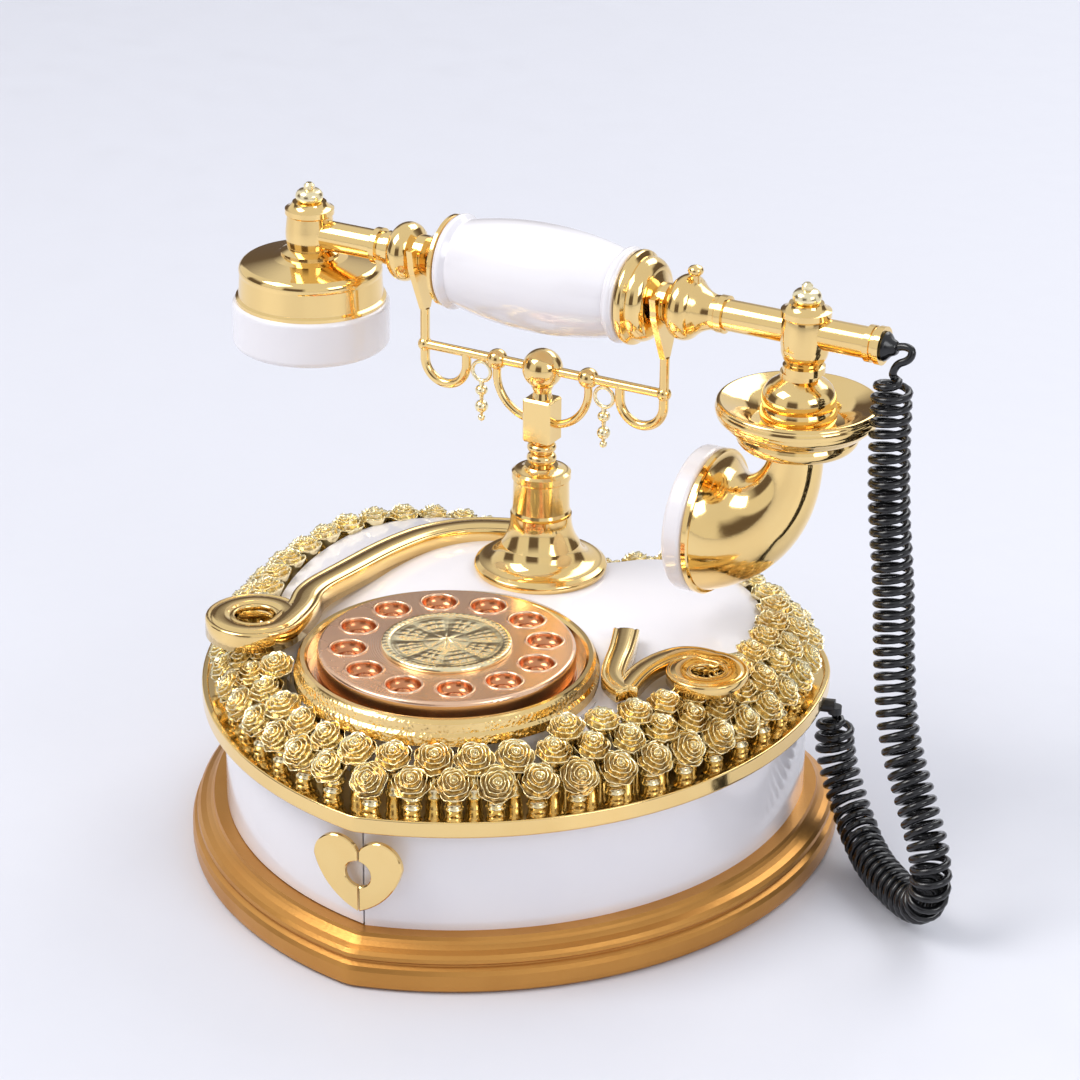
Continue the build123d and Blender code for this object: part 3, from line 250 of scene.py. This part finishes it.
def engraved_wall(tree, place):
    """Small leaves cut round the wall of the dial's bezel."""
    reach, bearing, height = dial_polar(tree, place)
    along = shader_node(tree, "ShaderNodeMath", {0: bearing, 1: 46.0}, operation="MULTIPLY").outputs[0]
    rise = shader_node(tree, "ShaderNodeMath", {0: height, 1: 950.0}, operation="MULTIPLY").outputs[0]
    flat = shader_node(tree, "ShaderNodeCombineXYZ", {"X": along, "Y": rise})
    cells = shader_node(tree, "ShaderNodeTexVoronoi", {"Vector": flat.outputs[0], "Scale": 0.9})
    wall = remap(tree, reach, 0.0444, 0.0450, 0.0, 1.0)
    return shader_node(tree, "ShaderNodeMath", {0: cells.outputs["Distance"], 1: wall},
                       operation="MULTIPLY").outputs[0]


def turned_rings(tree, place):
    """Very fine rings left by turning the finger wheel."""
    reach = dial_polar(tree, place)[0]
    wave = shader_node(tree, "ShaderNodeMath", {0: reach, 1: 9000.0}, operation="MULTIPLY").outputs[0]
    wave = shader_node(tree, "ShaderNodeMath", {0: wave}, operation="SINE").outputs[0]
    return shader_node(tree, "ShaderNodeMath", {0: wave, 1: 0.05}, operation="MULTIPLY").outputs[0]


# the third gold colour is painted shade, laid into the hollows of the gilt relief
GOLD, GOLD_STAIN, GOLD_HOLLOW_SHADE = (0.94, 0.68, 0.29), (0.84, 0.53, 0.18), (0.42, 0.25, 0.08)
ROSE_GOLD, ROSE_STAIN = (0.93, 0.62, 0.42), (0.80, 0.45, 0.24)
gilt = finish("gilt", GOLD, GOLD_STAIN, 1.0, 0.10, spread=0.04)
gilt_relief = finish("gilt relief", (0.98, 0.86, 0.54), (0.92, 0.70, 0.34), 1.0, 0.20, bump=0.10,
                     hollow_shade=GOLD_HOLLOW_SHADE)
gilt_engraved = finish("gilt engraved", GOLD, GOLD_STAIN, 1.0, 0.14, relief=engraved_wall)
rose_gold = finish("rose gold", ROSE_GOLD, ROSE_STAIN, 1.0, 0.24, relief=turned_rings)
copper = finish("copper cups", (0.70, 0.30, 0.14), (0.35, 0.12, 0.05), 1.0, 0.22)
white_gloss = finish("white lacquer", (0.85, 0.83, 0.86), (0.80, 0.78, 0.83), 0.0, 0.16, coat=0.6,
                     bump=0.006, grain=500.0)
# the bronze's dark hollow colour is painted shade in the grooves and hollows of the paint
bronze = finish("bronze paint", (0.60, 0.29, 0.07), (0.44, 0.19, 0.04), 0.85, 0.36, spread=0.07,
                bump=0.12, hollow_shade=(0.25, 0.12, 0.04))
black_cord = finish("cord jacket", (0.004, 0.004, 0.005), (0.012, 0.012, 0.013), 0.0, 0.22, coat=0.15)
black_plastic = finish("black plastic", (0.015, 0.015, 0.016), (0.03, 0.03, 0.03), 0.0, 0.42, bump=0.1)
steel = finish("zinc steel", (0.60, 0.60, 0.62), (0.45, 0.45, 0.46), 1.0, 0.34)
brass = finish("machined brass", (0.78, 0.56, 0.22), (0.60, 0.38, 0.12), 1.0, 0.30)
velvet = finish("flock", (0.30, 0.03, 0.07), (0.20, 0.02, 0.05), 0.0, 0.90, bump=0.6, grain=2500.0)
velvet.node_tree.nodes["Principled BSDF"].inputs["Sheen Weight"].default_value = 0.8

SLOT_FINISH = {
    "gilt": gilt, "rose_gold": rose_gold, "white_gloss": white_gloss, "bronze_paint": bronze,
    "black_plastic": black_plastic, "black_cord": black_cord, "steel": steel, "brass": brass,
    "velvet": velvet,
}
NODE_FINISH = {"dial_bezel": gilt_engraved, "pendants": gilt_relief, "post_finials": gilt_relief}
for part in frame["record"]["subparts"]:
    made_of = NODE_FINISH.get(part["node"], SLOT_FINISH[part["material_slot"]])
    mesh = nodes[part["node"]].data
    if not mesh.materials:
        mesh.materials.append(made_of)
    for index in range(len(mesh.materials)):
        mesh.materials[index] = made_of


# ---------------------------------------------------------------- curly cord
CORD_ROUTE = [
    (0.0972, 0.0500, 0.0442),
    (0.0972, 0.0500, 0.0340),
    (0.1015, 0.0472, 0.0230),
    (0.1090, 0.0405, 0.0125),
    (0.1185, 0.0290, 0.0072),
    (0.1300, 0.0165, 0.0072),
    (0.1420, 0.0050, 0.0088),
    (0.1470, 0.0000, 0.0175),
    (0.1460, 0.0010, 0.0295),
    (0.1385, 0.0075, 0.0430),
    (0.1295, 0.0140, 0.0600),
    (0.1252, 0.0195, 0.0810),
    (0.1225, 0.0240, 0.1040),
    (0.1190, 0.0260, 0.1260),
    (0.1177, 0.0274, 0.1440),
    (0.1166, 0.0298, 0.1580),
    (0.1166, 0.0298, 0.1688),
]
COIL_OUTSIDE = 6.5 * MM   # radius over the coil
WIRE = 1.2 * MM           # radius of the wire
COIL_PITCH = 3.7 * MM
TURN_STEPS = 16
LEAD_IN = 5.0 * MM        # how far the wire takes to spread from the middle to the coil's radius
ROD_END = Vector((0.11305, 0.03200, 0.17620))      # the handset's right end
HANDSET_YAW = radians(-4.5)
LEAD_OUT = [(0.1166, 0.0298, 0.1688), (0.1172, 0.0298, 0.1720), (0.1215, 0.0299, 0.1738),
            (0.1222, 0.0308, 0.1768), (0.1190, 0.0315, 0.1775), (0.1165, 0.0317, 0.1764)]

line = nurbs_line(CORD_ROUTE, 24)
coil_length = even_steps(line, 2)[1]
turns = round(coil_length / COIL_PITCH)
line = even_steps(line, turns * TURN_STEPS + 1)[0]
across, over = carried_frames(line)
share = np.linspace(0.0, 1.0, len(line))
gone = share * coil_length
spread = np.clip(np.minimum(gone, coil_length - gone) / LEAD_IN, 0.0, 1.0)
spread = spread * spread * (3 - 2 * spread) * (COIL_OUTSIDE - WIRE)
bearing = 2 * pi * turns * share
helix = line + spread[:, None] * (across * np.cos(bearing)[:, None] + over * np.sin(bearing)[:, None])
wire = even_steps(helix, len(helix))[0]
verts, faces = tube(wire, np.full(len(wire), WIRE), 10)
cord = mesh_piece("curly_cord_coil", verts, faces, None, black_cord)
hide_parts("curly_cord")
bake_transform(cord)

# the cord's straight end, and the grommet it enters at the end of the handset's rod
along = Vector((cos(HANDSET_YAW), sin(HANDSET_YAW), 0))
grommet_line = [np.array(ROD_END + along * reach * MM) for reach in (-0.2, 0.6, 1.4, 2.4, 3.6, 4.2)]
grommet_radii = [4.4 * MM, 4.5 * MM, 3.9 * MM, 2.7 * MM, 2.2 * MM, 1.7 * MM]
verts, faces = tube(np.array(grommet_line), grommet_radii, 32)
lead = even_steps(nurbs_line(LEAD_OUT, 12), 40)[0]
lead_verts, lead_faces = tube(lead, np.full(len(lead), WIRE), 12)
faces = list(faces) + [tuple(k + len(verts) for k in face) for face in lead_faces]
grommet = mesh_piece("rod_grommet", list(verts) + list(lead_verts), faces, "handset",
                     black_cord)
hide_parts("handset_gland")


# ---------------------------------------------------------------- roses
STEM_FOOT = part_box("roses_outer")[0].z
STEM_REACH = 5.5 * MM     # wider than a stem and narrower than the gap between stems
PETAL_RINGS = [
    # petals, outer radius, base height, lip height (shares of the head's radius)
    (2, 0.24, 0.62, 0.86),
    (3, 0.43, 0.50, 0.84),
    (4, 0.64, 0.36, 0.74),
    (5, 0.86, 0.16, 0.56),
    (6, 1.04, -0.08, 0.28),
]
ROSE_SIDES = 40


def rose_rows(turn):
    """The rings of points of one rose head of radius 1, from its heart to its calyx."""
    rows = []
    angles = np.linspace(0, 2 * pi, ROSE_SIDES, endpoint=False)
    inner = np.full(ROSE_SIDES, 0.02)
    for number, (petals, outer, base, lip) in enumerate(PETAL_RINGS):
        phase = turn + number * 1.9
        lobe = np.abs(np.cos(petals * (angles - phase) / 2)) ** 0.6
        swirl = ((petals * (angles - phase) / (2 * pi)) % 1.0) - 0.5
        edge = outer * (0.86 + 0.16 * lobe + 0.05 * swirl)
        top = lip + 0.10 * (lobe - 0.6) - 0.10 * swirl
        for part, lift in ((0.0, 0.0), (0.45, 0.14), (0.8, 0.6), (0.95, 1.0)):
            radius = inner + (edge - inner) * part
            rows.append((radius, base + (top - base) * lift))
        rows.append((edge * 1.02, top - 0.03))
        rows.append((edge * 0.96, top - 0.16))
        inner = edge * 0.90
    rows.append((np.full(ROSE_SIDES, 0.72), np.full(ROSE_SIDES, -0.30)))
    rows.append((np.full(ROSE_SIDES, 0.50), np.full(ROSE_SIDES, -0.52)))
    return angles, rows


def rose(place, crown, radius, lean, outward):
    """One rose on its ringed stem, leaning outward."""
    angles, rows = rose_rows(dice.uniform(0, 2 * pi))
    axis = Vector((-outward.y, outward.x, 0))
    tilt = Matrix.Rotation(lean, 3, axis)
    centre = Vector((place.x, place.y, crown - 0.62 * radius))
    verts = []
    for reach, height in rows:
        for k, angle in enumerate(angles):
            h = height if np.isscalar(height) else height[k]
            local = Vector((reach[k] * cos(angle), reach[k] * sin(angle), h)) * radius
            verts.append(centre + tilt @ local)
    neck = centre + tilt @ Vector((0, 0, -0.60 * radius))
    rings = [(0.47, 1.0), (0.47, 0.82), (0.55, 0.78), (0.55, 0.70), (0.45, 0.66), (0.45, 0.40),
             (0.53, 0.36), (0.53, 0.28), (0.45, 0.24), (0.45, 0.0)]
    for reach, share_up in rings:
        base = Vector((place.x, place.y, STEM_FOOT)).lerp(neck, share_up)
        for angle in angles:
            verts.append(base + Vector((cos(angle), sin(angle), 0)) * reach * radius)
    count = len(rows) + len(rings)
    faces = strip_faces(count, ROSE_SIDES, True)
    faces = [tuple(reversed(f)) for f in faces]
    faces.append(tuple(range(ROSE_SIDES)))
    return verts, faces


def bud_places(node):
    """The middle of each bud's stem in a CAD row of roses, and its crown's height."""
    points = [v.co for v in nodes[node].data.vertices]
    groups = []
    for point in points:
        if point.z > STEM_FOOT + 1e-5:
            continue
        for group in groups:
            if (group[0] - point).length < STEM_REACH:
                group.append(point)
                break
        else:
            groups.append([point])
    places = []
    for group in groups:
        middle = Vector(((min(p.x for p in group) + max(p.x for p in group)) / 2,
                         (min(p.y for p in group) + max(p.y for p in group)) / 2, 0))
        near = [p.z for p in points if (Vector((p.x, p.y, 0)) - middle).length < 4.6 * MM]
        places.append((middle, max(near)))
    return places


HEART_MIDDLE = Vector((0, 0.018, 0))
for node, radius, lean, lift in (("roses_outer", 5.7, 42.0, 0.2), ("roses_middle", 5.6, 24.0, 0.4),
                                 ("roses_inner", 5.2, 10.0, 0.2)):
    buds = bud_places(node)
    buds.sort(key=lambda bud: atan2(bud[0].y - HEART_MIDDLE.y, bud[0].x - HEART_MIDDLE.x))
    verts, faces = [], []
    for i, (place, crown) in enumerate(buds):
        before, after = buds[i - 1][0], buds[(i + 1) % len(buds)][0]
        tangent = (after - before).normalized()
        outward = Vector((tangent.y, -tangent.x, 0))
        new_verts, new_faces = rose(place, crown + lift * MM, radius * MM * dice.uniform(0.94, 1.05),
                                    radians(lean + dice.uniform(-9, 9)), outward)
        faces += [tuple(k + len(verts) for k in face) for face in new_faces]
        verts += new_verts
    roses = mesh_piece(node + "_petals", verts, faces, "root", gilt_relief)
    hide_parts(node)


# ---------------------------------------------------------------- scrolls
def ribbon(name, routes, bottom, top, node):
    """Ribbons with a thin ridge along each edge, following flat lines.

    A route is (points, start width, end width, drop from start to end), in millimetres.
    """
    edge = [(0.26, 0.97), (0.30, 0.91), (0.35, 0.91), (0.39, 0.96), (0.47, 0.94), (0.5, 0.86), (0.5, 0.0)]
    profile = [(-offset, height) for offset, height in reversed(edge)]
    profile += [(-0.1, 1.0), (0.1, 1.0)] + edge
    verts, faces = [], []
    for points, start_width, end_width, drop in routes:
        line = even_steps([(x * MM, y * MM, 0.0) for x, y in points], 110)[0]
        tangents = np.gradient(line, axis=0)
        tangents /= np.linalg.norm(tangents, axis=1)[:, None]
        normals = np.stack([-tangents[:, 1], tangents[:, 0], np.zeros(len(line))], axis=1)
        first = len(verts)
        for i, (centre, normal) in enumerate(zip(line, normals)):
            share = i / (len(line) - 1)
            wide = (start_width + (end_width - start_width) * share) * MM
            for offset, height in profile:
                rise = bottom + (top - bottom - drop * share) * height
                verts.append(centre + normal * offset * wide + np.array((0, 0, rise * MM)))
        faces += strip_faces(len(line), len(profile), True, first)
        faces.append(tuple(first + k for k in reversed(range(len(profile)))))
        faces.append(tuple(len(verts) - len(profile) + k for k in range(len(profile))))
    scroll = mesh_piece(name, verts, faces, "root", gilt)
    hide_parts(node)


def smooth_route(points):
    """A flat route rounded off at its points."""
    return [(x / MM, y / MM) for x, y, _ in nurbs_line([(x * MM, y * MM, 0.0) for x, y in points], 10)]


def spiral(centre, start, turn, first_radius, last_radius):
    """A clockwise spiral about centre from a bearing in degrees."""
    points = []
    for i in range(61):
        share = i / 60
        bearing = radians(start - turn * share)
        reach = first_radius + (last_radius - first_radius) * share
        points.append((centre[0] + reach * cos(bearing), centre[1] + reach * sin(bearing)))
    return points


left_run = smooth_route([(-6, 62), (-24, 60), (-40, 48), (-47.5, 30), (-52, 8), (-56, -10),
                         (-51.6, -22), (-51.4, -33.5)])
left_coil = spiral((-62, -34), 0, 385, 10.6, 10.7)
ribbon("left_scroll_ribbon", [(left_run + left_coil[1:], 10.6, 8.6, 0.5)], 76.2, 83.0, "left_scroll")

right_run = smooth_route([(58, -27), (57, -16), (60, -3), (66, 4.6), (72, 3.6)])
right_coil = spiral((75, -6), 108, 400, 9.6, 7.4)
inner_run = smooth_route([(43, 9), (46.5, -2), (48.5, -12), (52, -24), (58.5, -28)])
ribbon("right_scroll_ribbon", [(inner_run, 8.0, 7.0, 0.0), (right_run + right_coil[1:], 7.0, 7.6, 0.6)],
       76.2, 80.5, "right_scroll")


# ---------------------------------------------------------------- dial
def disc_relief(name, centre, radius, bottom, height_at):
    """A gilt plate on the dial whose top is carved by height_at(share of radius, bearing)."""
    rings, sides = 64, 180
    verts = [Vector((centre.x, centre.y, bottom + height_at(0.0, 0.0)))]
    for r in range(1, rings + 1):
        for k in range(sides):
            turn = 2 * pi * k / sides
            reach = radius * r / rings
            verts.append(Vector((centre.x + reach * cos(turn), centre.y + reach * sin(turn),
                                 bottom + height_at(r / rings, turn))))
    for k in range(sides):
        turn = 2 * pi * k / sides
        verts.append(Vector((centre.x + radius * cos(turn), centre.y + radius * sin(turn), bottom)))
    faces = [(0, 1 + k, 1 + (k + 1) % sides) for k in range(sides)]
    faces += strip_faces(rings + 1, sides, True, 1)
    faces.append(tuple(reversed(range(len(verts) - sides, len(verts)))))
    faces = [faces[-1]] + [tuple(f) for f in faces[:sides]] + [tuple(reversed(f)) for f in faces[sides:-1]]
    return mesh_piece(name, verts, faces, "dial", gilt_relief)


def medallion_height(share, bearing):
    """A flower in the middle, a wreath of scrolled leaves round it, and a beaded border."""
    flower = max(0.0, 1.0 - share / 0.36)
    petals = abs(cos(4 * bearing)) ** 0.5
    height = 1.1 + 0.9 * flower * (0.35 + 0.65 * petals)
    height += 0.35 * max(0.0, 1.0 - share / 0.10)
    wreath = max(0.0, 1.0 - abs(share - 0.60) / 0.24)
    curl = abs(cos(4 * bearing)) ** 0.6
    vein = abs(cos(16 * bearing) * sin(20 * share))
    height += wreath ** 0.5 * (0.75 * curl * (0.55 + 0.45 * vein) - 0.35)
    border = max(0.0, 1.0 - abs(share - 0.93) / 0.07)
    height += border ** 0.5 * (0.25 + 0.30 * abs(cos(28 * bearing)))
    if share > 0.985:
        height -= 0.4
    return height * MM


wheel_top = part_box("dial_medallion")[0].z
MEDALLION_RADIUS = 19.8 * MM
medallion = disc_relief("medallion_relief", DIAL_CENTRE, MEDALLION_RADIUS, wheel_top, medallion_height)
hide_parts("dial_medallion")

HOLES, HOLE_CIRCLE = 12, 29.6
RING_SIDES = 36


def ring_points(centre, radius, count):
    """Points round a level circle."""
    return [centre + Vector((cos(2 * pi * k / count), sin(2 * pi * k / count), 0)) * radius
            for k in range(count)]


verts, faces = [], []
cup_verts, cup_faces = [], []
for hole in range(HOLES):
    turn = 2 * pi * hole / HOLES
    middle = DIAL_CENTRE + Vector((cos(turn), sin(turn), 0)) * HOLE_CIRCLE * MM
    rim = [(5.15, -0.6), (5.2, 0.0), (5.4, 0.30), (5.75, 0.38), (6.1, 0.28), (6.3, 0.0), (6.3, -0.2)]
    first = len(verts)
    for reach, rise in rim:
        verts += ring_points(middle + Vector((0, 0, wheel_top + rise * MM)), reach * MM, RING_SIDES)
    faces += [tuple(reversed(f)) for f in strip_faces(len(rim), RING_SIDES, True, first)]
    cup = [(5.3, -0.3), (5.1, -1.4), (4.5, -2.4), (3.6, -3.0), (2.6, -2.9), (2.0, -2.2), (1.3, -1.7),
           (0.6, -1.5), (0.05, -1.45)]
    first = len(cup_verts)
    for reach, rise in cup:
        cup_verts += ring_points(middle + Vector((0, 0, wheel_top + rise * MM)), reach * MM, RING_SIDES)
    cup_faces += [tuple(reversed(f)) for f in strip_faces(len(cup), RING_SIDES, True, first)]
    cup_faces.append(tuple(range(first + RING_SIDES * (len(cup) - 1), first + RING_SIDES * len(cup))))
mesh_piece("finger_rims", verts, faces, "dial", rose_gold)
mesh_piece("finger_cups", cup_verts, cup_faces, "dial", copper)


# ---------------------------------------------------------------- floor and light
floor = bpy.data.meshes.new("floor")
floor.from_pydata([(-4, -4, 0), (4, -4, 0), (4, 4, 0), (-4, 4, 0)], [], [(0, 1, 2, 3)])
floor_piece = bpy.data.objects.new("floor", floor)
floor_piece.location.z = -0.0002
bpy.context.scene.collection.objects.link(floor_piece)
floor.materials.append(finish("floor", (0.70, 0.71, 0.77), (0.68, 0.69, 0.75), 0.0, 0.45, bump=0.01))


def softbox(name, place, aim, size, power, colour):
    """A square light at place, facing aim."""
    lamp = bpy.data.lights.new(name, "AREA")
    lamp.size = size
    lamp.energy = power
    lamp.color = colour
    holder = bpy.data.objects.new(name, lamp)
    holder.location = place
    holder.rotation_euler = (Vector(aim) - Vector(place)).to_track_quat("-Z", "Y").to_euler()
    bpy.context.scene.collection.objects.link(holder)


CENTRE = (0.02, 0.0, 0.08)
softbox("key", (-0.9, -0.7, 1.5), CENTRE, 0.9, 18.0, (1.0, 0.98, 0.95))
softbox("fill", (1.5, -0.6, 0.9), CENTRE, 0.7, 6.5, (0.95, 0.97, 1.0))
softbox("back", (0.3, 1.4, 1.3), CENTRE, 1.0, 9.0, (1.0, 1.0, 1.0))

world = bpy.data.worlds.new("studio")
world.use_nodes = True
bpy.context.scene.world = world
tree = world.node_tree
sky = shader_node(tree, "ShaderNodeTexCoord").outputs["Generated"]
parts = shader_node(tree, "ShaderNodeSeparateXYZ", {0: sky})
azimuth = shader_node(tree, "ShaderNodeMath", {0: parts.outputs["Y"], 1: parts.outputs["X"]},
                      operation="ARCTAN2").outputs[0]
stripes = shader_node(tree, "ShaderNodeMath", {0: azimuth, 1: 5.0}, operation="MULTIPLY").outputs[0]
stripes = shader_node(tree, "ShaderNodeMath", {0: stripes}, operation="SINE").outputs[0]
walls = remap(tree, stripes, -0.35, 0.15, 0.0, 1.0)
ceiling = remap(tree, parts.outputs["Z"], 0.35, 0.60, 0.0, 1.0)
room = blend_colours(tree, walls, (0.16, 0.13, 0.12), (0.95, 0.96, 1.0))
room = blend_colours(tree, ceiling, room, (0.92, 0.94, 1.0))
tree.links.new(room, tree.nodes["Background"].inputs["Color"])
tree.nodes["Background"].inputs["Strength"].default_value = 0.84

bpy.context.scene.view_settings.view_transform = "Standard"
